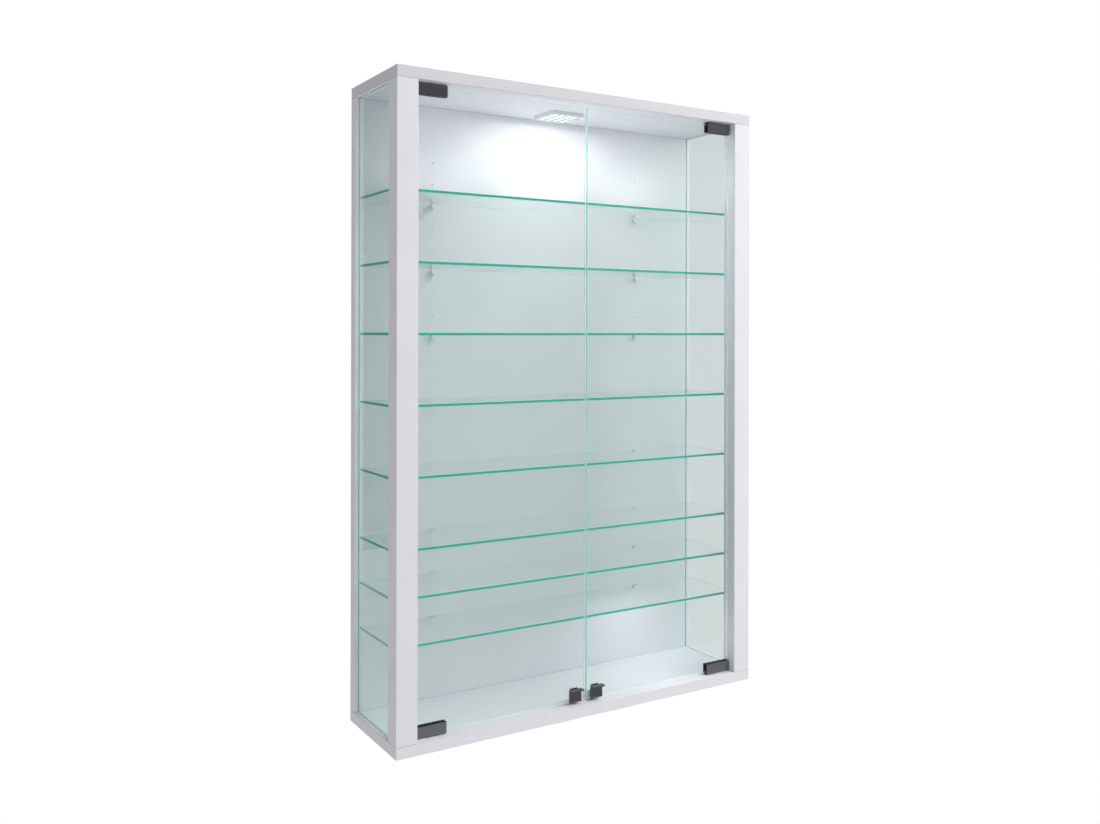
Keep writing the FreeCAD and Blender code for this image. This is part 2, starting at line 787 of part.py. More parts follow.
def hanger_screws():
    right = []
    for z in hanger_screw_places():
        recess = cross_recess(hanger_screw_head_radius, Vector(hanger_x, 0, z), ALONG_Y)
        right.append(hanger_screw(z, 0, 0).cut(recess))
    return right + [mirrored_x(screw) for screw in right]


# Every piece under its own name
pieces = {
    "top_panel": top_panel(),
    "bottom_panel": bottom_panel(),
    "back_panel": back_panel(),
    "back_shelf_supports": Part.makeCompound(back_shelf_supports()),
    "front_shelf_supports": Part.makeCompound(front_shelf_supports()),
    "hinge_bushes": Part.makeCompound(at_both_ends(on_both_sides(upper_hinge_bush()))),
    "catch_body": catch_body(),
    "catch_magnets": Part.makeCompound(catch_magnets()),
    "catch_pole_plates": Part.makeCompound(catch_pole_plates()),
    "catch_screws": Part.makeCompound(catch_screws()),
    "lamp_housing": lamp_housing(),
    "lamp_lens": lamp_lens(),
    "lamp_board": lamp_board(),
    "lamp_leds": Part.makeCompound(lamp_leds()),
    "lamp_screws": Part.makeCompound(lamp_screws()),
    "lamp_cable_grommet": lamp_cable_grommet(),
    "joint_screws": Part.makeCompound(joint_screws()),
    "joint_dowels": Part.makeCompound(joint_dowels()),
    "hanger_screws": Part.makeCompound(hanger_screws()),
}
for number, hole_number in enumerate(shelf_holes, start=1):
    pieces["glass_shelf_" + str(number)] = glass_shelf(hole_number)

right_pieces = {
    "front_post": right_front_post(),
    "side_glass": side_glass(),
    "wall_hanger": wall_hanger(),
    "door_glass": door_glass(),
    "upper_hinge_clip": upper_hinge_clip(),
    "lower_hinge_clip": mirrored_z(upper_hinge_clip()),
    "hinge_pins": Part.makeCompound(at_both_ends([upper_hinge_pin()])),
    "hinge_pads": Part.makeCompound(at_both_ends(upper_hinge_pads())),
    "hinge_set_screws": Part.makeCompound(at_both_ends(upper_hinge_set_screws())),
    "door_pull": door_pull(),
    "pull_pads": Part.makeCompound(pull_pads()),
    "pull_set_screw": pull_set_screw(),
}
for name, shape in right_pieces.items():
    pieces["right_" + name] = shape
    pieces["left_" + name] = mirrored_x(shape)

os.makedirs("parts", exist_ok=True)
for name, shape in pieces.items():
    save(name, shape)
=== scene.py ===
from math import pi

import bpy
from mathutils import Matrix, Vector


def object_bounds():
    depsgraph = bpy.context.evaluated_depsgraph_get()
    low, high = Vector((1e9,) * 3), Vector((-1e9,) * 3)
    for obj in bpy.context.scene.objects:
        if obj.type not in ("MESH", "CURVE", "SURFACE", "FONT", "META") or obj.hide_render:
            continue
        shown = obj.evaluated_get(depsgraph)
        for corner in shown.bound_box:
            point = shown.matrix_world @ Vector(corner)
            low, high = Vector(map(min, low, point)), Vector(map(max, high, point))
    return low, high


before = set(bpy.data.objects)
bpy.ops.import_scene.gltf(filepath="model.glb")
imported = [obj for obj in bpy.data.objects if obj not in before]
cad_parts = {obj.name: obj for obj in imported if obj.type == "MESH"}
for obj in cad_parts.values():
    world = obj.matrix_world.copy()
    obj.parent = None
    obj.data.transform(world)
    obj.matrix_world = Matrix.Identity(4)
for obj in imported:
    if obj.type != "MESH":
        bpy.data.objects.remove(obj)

cad_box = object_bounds()


# Carcass: top, bottom, back and two front posts. White chipboard faced with melamine
# paper, with matching plastic edge bands, screwed and dowelled together.
def linear(hex_colour):
    """An sRGB hex colour as linear red, green, blue and alpha."""
    channels = []
    for start in (0, 2, 4):
        share = int(hex_colour[start:start + 2], 16) / 255
        channels.append(share / 12.92 if share <= 0.04045 else ((share + 0.055) / 1.055) ** 2.4)
    return (*channels, 1.0)


def add_node(tree, kind, values=None, links=None, **settings):
    """Adds a shader node with its settings, its input values and its links."""
    node = tree.nodes.new(kind)
    for name, value in settings.items():
        setattr(node, name, value)
    for name, value in (values or {}).items():
        node.inputs[name].default_value = value
    for name, socket in (links or {}).items():
        tree.links.new(socket, node.inputs[name])
    return node


def new_material(name):
    """An empty node material, its tree, and the Object coordinates that its patterns read."""
    material = bpy.data.materials.new(name)
    material.use_nodes = True
    tree = material.node_tree
    tree.nodes.clear()
    return material, tree, add_node(tree, "ShaderNodeTexCoord").outputs["Object"]


def paint(material, *nodes):
    """Gives CAD nodes a material in the slots that they already have."""
    for node in nodes:
        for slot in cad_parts[node].material_slots:
            slot.material = material


MILLIMETRE = 0.001
PAPER_TONES = ("DFDEE5", "E6E5EB")
# Painted shade: the top's edge bands are drawn darker than those of the other boards.
TOP_BAND_SHADED_TONES = ("D1D0D5", "D8D7DC")
# Painted shade: the fine dark line where the posts and the back meet the top and the bottom.
JOINT_PAINTED_SHADE_TONE = "9E9DA3"
# Faces whose normal has less than this share upwards or downwards count as upright.
UPRIGHT_LIMIT = 0.7
# The joints lie level with the inner faces of the top and the bottom, above and below the middle.
JOINT_HEIGHT = 444 * MILLIMETRE
JOINT_LINE = 0.7 * MILLIMETRE
# The pin bores of the back: the part of their depth that gets a painted glow, and how far out they lie.
BORE_MIDDLE = -12.3 * MILLIMETRE
BORE_LENGTH = 6.8 * MILLIMETRE
BORE_REACH = 270 * MILLIMETRE
# Strength of the painted glow in the bores: painted light in place of their shade.
BORE_PAINTED_GLOW = 0.2


# Melamine paper pressed against an etched plate: near white, faintly cool, satin, with a
# fine pearl grain. The grain is really 0.3 mm; it is drawn at 1.5 mm so that it shows.
def melamine_board(name, band_tones, bore_painted_glow=0.0):
    """White board whose upright faces have a colour of their own, that of its edge bands.

    Where the posts and the back meet the top and the bottom, a fine dark line is painted in as painted
    shade. A darker band colour, as given for the top, is painted shade too. A faint glow painted into
    the pin bores of the back makes them look pale: painted light in place of their shade.
    """
    melamine, tree, place = new_material(name)
    cloud = add_node(tree, "ShaderNodeTexNoise", {"Scale": 1 / (90 * MILLIMETRE), "Detail": 3.0},
                     {"Vector": place})
    paper = add_node(tree, "ShaderNodeMix", {"A": linear(PAPER_TONES[0]), "B": linear(PAPER_TONES[1])},
                     {"Factor": cloud.outputs["Fac"]}, data_type="RGBA")
    band = add_node(tree, "ShaderNodeMix", {"A": linear(band_tones[0]), "B": linear(band_tones[1])},
                    {"Factor": cloud.outputs["Fac"]}, data_type="RGBA")
    normal = add_node(tree, "ShaderNodeSeparateXYZ", None, {"Vector": place.node.outputs["Normal"]})
    facing = add_node(tree, "ShaderNodeMath", None, {0: normal.outputs["Z"]}, operation="ABSOLUTE")
    upright = add_node(tree, "ShaderNodeMath", {1: UPRIGHT_LIMIT}, {0: facing.outputs[0]},
                       operation="LESS_THAN")
    tone = add_node(tree, "ShaderNodeMix", None,
                    {"Factor": upright.outputs[0], "A": paper.outputs["Result"],
                     "B": band.outputs["Result"]}, data_type="RGBA")
    axes = add_node(tree, "ShaderNodeSeparateXYZ", None, {"Vector": place})
    height = add_node(tree, "ShaderNodeMath", None, {0: axes.outputs["Z"]}, operation="ABSOLUTE")
    at_joint = add_node(tree, "ShaderNodeMath", {1: JOINT_HEIGHT, 2: JOINT_LINE / 2},
                        {0: height.outputs[0]}, operation="COMPARE")
    # Painted shade: a fine dark line on upright faces where they meet the top and the bottom.
    joint_painted_shade = add_node(tree, "ShaderNodeMath", None,
                     {0: upright.outputs[0], 1: at_joint.outputs[0]}, operation="MULTIPLY")
    tone_with_painted_joint_line = add_node(tree, "ShaderNodeMix", {"B": linear(JOINT_PAINTED_SHADE_TONE)},
                     {"Factor": joint_painted_shade.outputs[0], "A": tone.outputs["Result"]}, data_type="RGBA")
    pearl = add_node(tree, "ShaderNodeTexNoise", {"Scale": 1 / (1.5 * MILLIMETRE), "Detail": 2.0},
                     {"Vector": place})
    satin = add_node(tree, "ShaderNodeMapRange", {"To Min": 0.38, "To Max": 0.5},
                     {"Value": pearl.outputs["Fac"]})
    grain = add_node(tree, "ShaderNodeBump", {"Strength": 0.08, "Distance": 0.05 * MILLIMETRE},
                     {"Height": pearl.outputs["Fac"]})
    board = add_node(tree, "ShaderNodeBsdfPrincipled", {"IOR": 1.48},
                     {"Base Color": tone_with_painted_joint_line.outputs["Result"], "Roughness": satin.outputs["Result"],
                      "Normal": grain.outputs["Normal"]})
    # Painted light: a faint glow in the pin bores of the back, in place of their shade.
    if bore_painted_glow:
        in_bore = add_node(tree, "ShaderNodeMath", {1: BORE_MIDDLE, 2: BORE_LENGTH / 2},
                           {0: axes.outputs["Y"]}, operation="COMPARE")
        across = add_node(tree, "ShaderNodeMath", None, {0: axes.outputs["X"]}, operation="ABSOLUTE")
        inwards = add_node(tree, "ShaderNodeMath", {1: BORE_REACH}, {0: across.outputs[0]},
                           operation="LESS_THAN")
        bore = add_node(tree, "ShaderNodeMath", None,
                        {0: in_bore.outputs[0], 1: inwards.outputs[0]}, operation="MULTIPLY")
        painted_bore_glow = add_node(tree, "ShaderNodeMath", {1: bore_painted_glow}, {0: bore.outputs[0]},
                          operation="MULTIPLY")
        tree.links.new(painted_bore_glow.outputs[0], board.inputs["Emission Strength"])
    add_node(tree, "ShaderNodeOutputMaterial", None, {"Surface": board.outputs["BSDF"]})
    return melamine


plain_board = melamine_board("white_melamine_board", PAPER_TONES)
paint(plain_board, "bottom_panel", "left_front_post", "right_front_post")
back_board = melamine_board("white_melamine_board_of_the_back_with_painted_bore_glow", PAPER_TONES, BORE_PAINTED_GLOW)
paint(back_board, "back_panel")
# The top's darker edge bands are painted shade.
top_board_with_painted_shade = melamine_board("white_melamine_board_of_the_top_with_painted_shade", TOP_BAND_SHADED_TONES)
paint(top_board_with_painted_shade, "top_panel")

# Screws and dowels of the carcass. The screws are zinc-plated steel with a hexagon socket,
# sunk flush in the top and the bottom; the dowels are turned beech, glued in.

# Barrel-plated zinc is a pale grey metal with an uneven satin sheen. The mottle is really
# about 0.2 mm; it is drawn at 2 mm so that it shows.
zinc, tree, place = new_material("zinc_plated_steel")
spangle = add_node(tree, "ShaderNodeTexNoise", {"Scale": 1 / (2 * MILLIMETRE), "Detail": 4.0},
                   {"Vector": place})
plating = add_node(tree, "ShaderNodeMix", {"A": linear("A9ACB0"), "B": linear("C8CACC")},
                   {"Factor": spangle.outputs["Fac"]}, data_type="RGBA")
matt = add_node(tree, "ShaderNodeMapRange", {"To Min": 0.26, "To Max": 0.42},
                {"Value": spangle.outputs["Fac"]})
steel = add_node(tree, "ShaderNodeBsdfPrincipled", {"Metallic": 1.0},
                 {"Base Color": plating.outputs["Result"], "Roughness": matt.outputs["Result"]})
add_node(tree, "ShaderNodeOutputMaterial", None, {"Surface": steel.outputs["BSDF"]})
paint(zinc, "joint_screws")

# Turned beech, left bare, is a pale warm brown and matt, with fine fibres along the dowel.
GRAIN_STRETCH = 0.08
beech, tree, place = new_material("turned_beech")
along = add_node(tree, "ShaderNodeMapping", {"Scale": (1.0, 1.0, GRAIN_STRETCH)}, {"Vector": place})
fibre = add_node(tree, "ShaderNodeTexNoise", {"Scale": 1 / (0.8 * MILLIMETRE), "Detail": 3.0},
                 {"Vector": along.outputs["Vector"]})
wood_tone = add_node(tree, "ShaderNodeMix", {"A": linear("C79F70"), "B": linear("DDBB8C")},
                     {"Factor": fibre.outputs["Fac"]}, data_type="RGBA")
fibre_bump = add_node(tree, "ShaderNodeBump", {"Strength": 0.2, "Distance": 0.1 * MILLIMETRE},
                      {"Height": fibre.outputs["Fac"]})
wood = add_node(tree, "ShaderNodeBsdfPrincipled", {"Roughness": 0.6, "IOR": 1.48},
                {"Base Color": wood_tone.outputs["Result"], "Normal": fibre_bump.outputs["Normal"]})
add_node(tree, "ShaderNodeOutputMaterial", None, {"Surface": wood.outputs["BSDF"]})
paint(beech, "joint_dowels")

# Glass: the side panes, the shelves and the two doors. Clear float glass with polished
# edges, ground where they lie by the boards, held by grooves, by supports and by clamps.
WHITE = linear("FFFFFF")
GLASS_IOR = 1.52
IRON_TINT = linear("00F9E1")
# Faces whose normal has less than this share along the sheet's own axis are its edges.
EDGE_LIMIT = 0.9


def float_glass(name, face_axis, edge_tones, pale_painted_edge_tone, painted_edge_glow, iron_density):
    """Clear float glass whose broad faces look along one axis.

    The iron in it takes a little red out of what passes through, most in the side panes.
    Upright edges are polished: they look green, with a faint painted glow for the light that a sheet
    guides to its edges, and mirror on the inside. Level edges and rear edges are ground and drawn pale
    with the same painted glow: painted light for the white boards seen through them, and on the doors a
    painted highlight along the top and the foot. Lamp light and bounced light pass straight through, as
    they nearly do in a thin sheet.
    """
    glass, tree, place = new_material(name)
    wave = add_node(tree, "ShaderNodeTexNoise", {"Scale": 1 / (120 * MILLIMETRE), "Detail": 1.0},
                    {"Vector": place})
    roller_wave = add_node(tree, "ShaderNodeBump", {"Strength": 0.02, "Distance": 0.1 * MILLIMETRE},
                           {"Height": wave.outputs["Fac"]})
    face = add_node(tree, "ShaderNodeBsdfPrincipled",
                    {"Base Color": WHITE, "Roughness": 0.0, "IOR": GLASS_IOR,
                     "Transmission Weight": 1.0}, {"Normal": roller_wave.outputs["Normal"]})
    grit = add_node(tree, "ShaderNodeTexNoise", {"Scale": 1 / (3 * MILLIMETRE), "Detail": 3.0},
                    {"Vector": place})
    green = add_node(tree, "ShaderNodeMix", {"A": linear(edge_tones[0]), "B": linear(edge_tones[1])},
                     {"Factor": grit.outputs["Fac"]}, data_type="RGBA")
    normal = add_node(tree, "ShaderNodeSeparateXYZ", None, {"Vector": place.node.outputs["Normal"]})
    upward = add_node(tree, "ShaderNodeMath", None, {0: normal.outputs["Z"]}, operation="ABSOLUTE")
    inside = add_node(tree, "ShaderNodeNewGeometry").outputs["Backfacing"]
    # Seen from inside, a face's normal is turned towards the eye, so a rear edge has it forwards.
    rearward = add_node(tree, "ShaderNodeMath", {1: -1.0}, {0: normal.outputs["Y"]},
                        operation="MULTIPLY")
    rear_edge = add_node(tree, "ShaderNodeMath", None,
                         {0: rearward.outputs[0], 1: inside}, operation="MULTIPLY")
    pale_painted_edges = add_node(tree, "ShaderNodeMath", None,
                      {0: upward.outputs[0], 1: rear_edge.outputs[0]}, operation="MAXIMUM")
    edge_tone = add_node(tree, "ShaderNodeMix", {"B": linear(pale_painted_edge_tone)},
                         {"Factor": pale_painted_edges.outputs[0], "A": green.outputs["Result"]}, data_type="RGBA")
    # Painted light: the edges glow faintly, and level and rear edges are drawn in a pale tone.
    edge = add_node(tree, "ShaderNodeBsdfPrincipled",
                    {"Roughness": 0.3, "IOR": GLASS_IOR, "Emission Strength": painted_edge_glow},
                    {"Base Color": edge_tone.outputs["Result"],
                     "Emission Color": edge_tone.outputs["Result"]})
    facing = add_node(tree, "ShaderNodeMath", None, {0: normal.outputs[face_axis]}, operation="ABSOLUTE")
    on_edge = add_node(tree, "ShaderNodeMath", {1: EDGE_LIMIT}, {0: facing.outputs[0]},
                       operation="LESS_THAN")
    outside = add_node(tree, "ShaderNodeMath", {1: 0.5}, {0: inside}, operation="LESS_THAN")
    shows = add_node(tree, "ShaderNodeMath", None,
                     {0: outside.outputs[0], 1: pale_painted_edges.outputs[0]}, operation="MAXIMUM")
    edge_share = add_node(tree, "ShaderNodeMath", None,
                          {0: on_edge.outputs[0], 1: shows.outputs[0]}, operation="MULTIPLY")
    sheet = add_node(tree, "ShaderNodeMixShader", None,
                     {"Fac": edge_share.outputs[0], 1: face.outputs["BSDF"], 2: edge.outputs["BSDF"]})
    straight = add_node(tree, "ShaderNodeBsdfTransparent", {"Color": linear("FAFCFB")})
    ray = add_node(tree, "ShaderNodeLightPath")
    passing = add_node(tree, "ShaderNodeMath", None,
                       {0: ray.outputs["Is Shadow Ray"], 1: ray.outputs["Is Diffuse Ray"]},
                       operation="MAXIMUM")
    lit_sheet = add_node(tree, "ShaderNodeMixShader", None,
                         {"Fac": passing.outputs[0], 1: sheet.outputs["Shader"],
                          2: straight.outputs["BSDF"]})
    iron = add_node(tree, "ShaderNodeVolumeAbsorption", {"Color": IRON_TINT, "Density": iron_density})
    add_node(tree, "ShaderNodeOutputMaterial", None,
             {"Surface": lit_sheet.outputs["Shader"], "Volume": iron.outputs["Volume"]})
    return glass


# For each sheet: the green tones of its edges, its pale painted edge tone, the strength of the painted
# edge glow, and its iron.
side_glass = float_glass("float_glass_side_pane_with_painted_edge_glow", "X", ("AFCFC9", "BDDAD5"), "C9DEDA",
                         painted_edge_glow=0.3, iron_density=14.0)
paint(side_glass, "left_side_glass", "right_side_glass")
shelf_glass = float_glass("float_glass_shelf_with_painted_edge_glow", "Z", ("0A9F8F", "10B7A4"), "CFE0DD",
                          painted_edge_glow=0.12, iron_density=5.0)
SHELF_COUNT = 8
paint(shelf_glass, *[f"glass_shelf_{number}" for number in range(1, SHELF_COUNT + 1)])
door_glass = float_glass("float_glass_door_with_painted_edge_glow", "Y", ("96DAC8", "B0E8D9"), "E4E2E4",
                         painted_edge_glow=0.2, iron_density=5.0)
paint(door_glass, "left_door_glass", "right_door_glass")

# Shelf supports, hinge bushes and the body of the catch: moulded white polypropylene,
# pushed into drilled holes or screwed on.

# Moulded in an eroded tool it is white and half glossy, with a faintly speckled skin. The
# speckle is really about 0.1 mm; it is drawn at 0.8 mm so that it shows.
white_plastic, tree, place = new_material("white_polypropylene")
speck = add_node(tree, "ShaderNodeTexNoise", {"Scale": 1 / (0.8 * MILLIMETRE), "Detail": 2.0},
                 {"Vector": place})
moulded = add_node(tree, "ShaderNodeMix", {"A": linear("DCDEDF"), "B": linear("E6E8E8")},
                   {"Factor": speck.outputs["Fac"]}, data_type="RGBA")
mould_skin = add_node(tree, "ShaderNodeBump", {"Strength": 0.1, "Distance": 0.05 * MILLIMETRE},
                      {"Height": speck.outputs["Fac"]})
plastic = add_node(tree, "ShaderNodeBsdfPrincipled", {"Roughness": 0.38, "IOR": 1.49},
                   {"Base Color": moulded.outputs["Result"], "Normal": mould_skin.outputs["Normal"]})
add_node(tree, "ShaderNodeOutputMaterial", None, {"Surface": plastic.outputs["BSDF"]})
paint(white_plastic, "back_shelf_supports", "front_shelf_supports", "hinge_bushes", "catch_body")

# Lamp under the top: a painted tray screwed to the panel, a white circuit board with
# sixteen lights, a clear lens with a dome under each, and a rubber grommet for the lead.

# Sprayed paint with metal flakes is a pale, satin silver grey. The flakes are really about
# 0.05 mm; they are drawn at 0.7 mm so that they show.
silver_paint, tree, place = new_material("silver_grey_paint")
flake = add_node(tree, "ShaderNodeTexNoise", {"Scale": 1 / (0.7 * MILLIMETRE), "Detail": 2.0},
                 {"Vector": place})
flakes = add_node(tree, "ShaderNodeMix", {"A": linear("DEE3E5"), "B": linear("E9EDEF")},
                  {"Factor": flake.outputs["Fac"]}, data_type="RGBA")
paint_coat = add_node(tree, "ShaderNodeBsdfPrincipled", {"Roughness": 0.4, "IOR": 1.5},
                      {"Base Color": flakes.outputs["Result"]})
add_node(tree, "ShaderNodeOutputMaterial", None, {"Surface": paint_coat.outputs["BSDF"]})
paint(silver_paint, "lamp_housing")

# White solder mask over woven glass fibre is faintly yellow and half glossy.
solder_mask, tree, place = new_material("white_solder_mask")
weave = add_node(tree, "ShaderNodeTexNoise", {"Scale": 1 / (1 * MILLIMETRE), "Detail": 1.0},
                 {"Vector": place})
mask_tone = add_node(tree, "ShaderNodeMix", {"A": linear("D6D8D4"), "B": linear("E2E3DE")},
                     {"Factor": weave.outputs["Fac"]}, data_type="RGBA")
mask = add_node(tree, "ShaderNodeBsdfPrincipled", {"Roughness": 0.35, "IOR": 1.5},
                {"Base Color": mask_tone.outputs["Result"]})
add_node(tree, "ShaderNodeOutputMaterial", None, {"Surface": mask.outputs["BSDF"]})
paint(solder_mask, "lamp_board")

# Phosphor cast over a chip glows a cool white, a little unevenly.
phosphor, tree, place = new_material("lit_phosphor")
mottle = add_node(tree, "ShaderNodeTexNoise", {"Scale": 1 / (0.5 * MILLIMETRE), "Detail": 1.0},
                  {"Vector": place})
glow = add_node(tree, "ShaderNodeMix", {"A": linear("F2F6FF"), "B": linear("FFFFFF")},
                {"Factor": mottle.outputs["Fac"]}, data_type="RGBA")
chip = add_node(tree, "ShaderNodeBsdfPrincipled", {"Roughness": 0.4, "Emission Strength": 3.0},
                {"Base Color": glow.outputs["Result"], "Emission Color": glow.outputs["Result"]})
add_node(tree, "ShaderNodeOutputMaterial", None, {"Surface": chip.outputs["BSDF"]})
paint(phosphor, "lamp_leds")

# The lens is clear acrylic, evenly lit by the board behind it. Where the corners of four
# domes meet it is dimmer, because no light is aimed there.
LAMP_X, LAMP_Y = 3 * MILLIMETRE, -73 * MILLIMETRE
DOME_PITCH_X, DOME_PITCH_Y = 11.5 * MILLIMETRE, 10.5 * MILLIMETRE
acrylic, tree, place = new_material("lit_clear_acrylic")
axes = add_node(tree, "ShaderNodeSeparateXYZ", None, {"Vector": place})
offsets = []
for axis, middle, pitch in (("X", LAMP_X, DOME_PITCH_X), ("Y", LAMP_Y, DOME_PITCH_Y)):
    cells = add_node(tree, "ShaderNodeMath", {1: -middle}, {0: axes.outputs[axis]}, operation="ADD")
    turns = add_node(tree, "ShaderNodeMath", {1: pitch / 2}, {0: cells.outputs[0]}, operation="PINGPONG")
    share = add_node(tree, "ShaderNodeMath", {1: 2 / pitch}, {0: turns.outputs[0]}, operation="MULTIPLY")
    offsets.append(share)
gap = add_node(tree, "ShaderNodeMath", None,
               {0: offsets[0].outputs[0], 1: offsets[1].outputs[0]}, operation="MAXIMUM")
# The gap runs from 0 where four corners meet to 1 in line with the middle of a dome.
LENS_GLOW = 0.56
beam = add_node(tree, "ShaderNodeMapRange",
                {"From Min": 0.35, "From Max": 0.5, "To Min": 0.0, "To Max": LENS_GLOW},
                {"Value": gap.outputs[0]})
lens = add_node(tree, "ShaderNodeBsdfPrincipled",
                {"Base Color": linear("7E8488"), "Roughness": 0.1, "IOR": 1.49,
                 "Emission Color": linear("F8FBFF")}, {"Emission Strength": beam.outputs["Result"]})
add_node(tree, "ShaderNodeOutputMaterial", None, {"Surface": lens.outputs["BSDF"]})
paint(acrylic, "lamp_lens")

# Moulded rubber is nearly black and matt, with a faint grey bloom.
rubber, tree, place = new_material("black_rubber")
bloom = add_node(tree, "ShaderNodeTexNoise", {"Scale": 1 / (1.2 * MILLIMETRE), "Detail": 3.0},
                 {"Vector": place})
rubber_tone = add_node(tree, "ShaderNodeMix", {"A": linear("161617"), "B": linear("242425")},
                       {"Factor": bloom.outputs["Fac"]}, data_type="RGBA")
soft = add_node(tree, "ShaderNodeBsdfPrincipled", {"Roughness": 0.75, "IOR": 1.5},
                {"Base Color": rubber_tone.outputs["Result"]})
add_node(tree, "ShaderNodeOutputMaterial", None, {"Surface": soft.outputs["BSDF"]})
paint(rubber, "lamp_cable_grommet")
paint(zinc, "lamp_screws")

# Door fittings: clamp hinges at the outer corners and a finger pull at the foot of each
# door. Pressed and cast metal, plated in satin black nickel, clamped on rubber pads by
# zinc-plated set screws; the hinge pins turn in the bushes of the top and the bottom.
def black_nickel(name, face_tones, edge_tone):
    """Satin black nickel: a dark metal, faintly uneven where the casting was blasted.

    The front and the rear are drawn paler than the edges and corners, whose darker tone is a painted
    dark reflection along the rounded edges.
    """
    plate, tree, place = new_material(name)
    peel = add_node(tree, "ShaderNodeTexNoise", {"Scale": 1 / (0.9 * MILLIMETRE), "Detail": 2.0},
                    {"Vector": place})
    face_mottle = add_node(tree, "ShaderNodeMix", {"A": linear(face_tones[0]), "B": linear(face_tones[1])},
                      {"Factor": peel.outputs["Fac"]}, data_type="RGBA")
    normal = add_node(tree, "ShaderNodeSeparateXYZ", None, {"Vector": place.node.outputs["Normal"]})
    facing = add_node(tree, "ShaderNodeMath", None, {0: normal.outputs["Y"]}, operation="ABSOLUTE")
    face_share = add_node(tree, "ShaderNodeMapRange", {"From Min": 0.8, "From Max": 0.98},
                          {"Value": facing.outputs[0]})
    tone = add_node(tree, "ShaderNodeMix", {"A": linear(edge_tone)},
                    {"Factor": face_share.outputs["Result"], "B": face_mottle.outputs["Result"]},
                    data_type="RGBA")
    satin = add_node(tree, "ShaderNodeMapRange", {"To Min": 0.26, "To Max": 0.36},
                     {"Value": peel.outputs["Fac"]})
    coat = add_node(tree, "ShaderNodeBsdfPrincipled", {"Metallic": 1.0},
                    {"Base Color": tone.outputs["Result"], "Roughness": satin.outputs["Result"]})
    add_node(tree, "ShaderNodeOutputMaterial", None, {"Surface": coat.outputs["BSDF"]})
    return plate


# The hinges' copy draws its edges and corners dark: a painted dark reflection.
hinge_nickel_with_painted_dark_edges = black_nickel("black_nickel_with_painted_dark_edges", ("808186", "8F9095"), "1E1F22")
# The pulls' copy is the same black nickel painted darker all over: painted shade.
pull_nickel_painted_darker = black_nickel("black_nickel_painted_darker_for_the_pulls", ("5A5B60", "67686C"), "67686C")
for side in ("left", "right"):
    paint(hinge_nickel_with_painted_dark_edges, f"{side}_upper_hinge_clip", f"{side}_lower_hinge_clip")
    paint(pull_nickel_painted_darker, f"{side}_door_pull")
    paint(rubber, f"{side}_hinge_pads", f"{side}_pull_pads")
    paint(zinc, f"{side}_hinge_pins", f"{side}_hinge_set_screws", f"{side}_pull_set_screw")

# Magnetic catch on the bottom: two ferrite magnets, each between two steel plates, in the
# white body, which is held by two screws.

# Pressed and sintered ferrite is a dark, dull grey with a fine grain.
ferrite, tree, place = new_material("sintered_ferrite")
sinter = add_node(tree, "ShaderNodeTexNoise", {"Scale": 1 / (0.6 * MILLIMETRE), "Detail": 4.0},
                  {"Vector": place})
ferrite_tone = add_node(tree, "ShaderNodeMix", {"A": linear("2E2E30"), "B": linear("454547")},
                        {"Factor": sinter.outputs["Fac"]}, data_type="RGBA")
magnet = add_node(tree, "ShaderNodeBsdfPrincipled", {"Roughness": 0.65},
                  {"Base Color": ferrite_tone.outputs["Result"]})
add_node(tree, "ShaderNodeOutputMaterial", None, {"Surface": magnet.outputs["BSDF"]})
paint(ferrite, "catch_magnets")
paint(zinc, "catch_pole_plates", "catch_screws")

# Wall hangers: keyhole plates of zinc-plated sheet steel, let in flush with the rear face of
# the back. Each is held by two countersunk screws and hangs on the head of a wall screw.
paint(zinc, "left_wall_hanger", "right_wall_hanger", "hanger_screws")

# Studio: a white background and a pale floor a metre below the cabinet, soft boxes above, at
# the right and behind, weak fills from below, from the left and inside, and the cabinet's
# own lamp. Glass and metal mirror a room that is dim in front and at the rear left.
FLOOR_DROP = 1.0
FLOOR_SIZE = 12.0
LEFT_SKY_LEVEL, RIGHT_SKY_LEVEL = 0.4, 0.52
DIM_LEVEL = 0.14
MIRROR_LEVEL = 0.42
BACKDROP_LEVEL = 0.73
# Each mirrored side: its direction, the cosines between which it fades in, and its level.
FRONT_SIDE = ((-0.26, -0.966, 0.0), 0.6, 0.8, DIM_LEVEL)
REAR_LEFT_SIDE = ((-0.6, 0.8, 0.0), 0.8, 0.9, DIM_LEVEL)
REAR_RIGHT_SIDE = ((0.5, 0.866, 0.0), 0.8, 0.9, BACKDROP_LEVEL)


def studio_level(tree, ray, direction):
    """How bright the studio shows in glass and metal along a direction.

    Straight through glass it is the pale backdrop on every side. In a mirror it is as pale
    at the rear right only, dim in front and at the rear left, and in between elsewhere.
    """
    room = add_node(tree, "ShaderNodeValue")
    room.outputs[0].default_value = MIRROR_LEVEL
    for side, start, full, side_level in (FRONT_SIDE, REAR_LEFT_SIDE, REAR_RIGHT_SIDE):
        towards = add_node(tree, "ShaderNodeVectorMath", {1: side}, {0: direction},
                           operation="DOT_PRODUCT")
        share = add_node(tree, "ShaderNodeMapRange", {"From Min": start, "From Max": full},
                         {"Value": towards.outputs["Value"]})
        room = add_node(tree, "ShaderNodeMix", {"B": side_level},
                        {"Factor": share.outputs["Result"], "A": room.outputs[0]})
    mirrored = add_node(tree, "ShaderNodeMath", {1: 0.5}, {0: ray.outputs["Glossy Depth"]},
                        operation="GREATER_THAN")
    level = add_node(tree, "ShaderNodeMix", {"A": BACKDROP_LEVEL},
                     {"Factor": mirrored.outputs[0], "B": room.outputs["Result"]})
    return level.outputs["Result"]


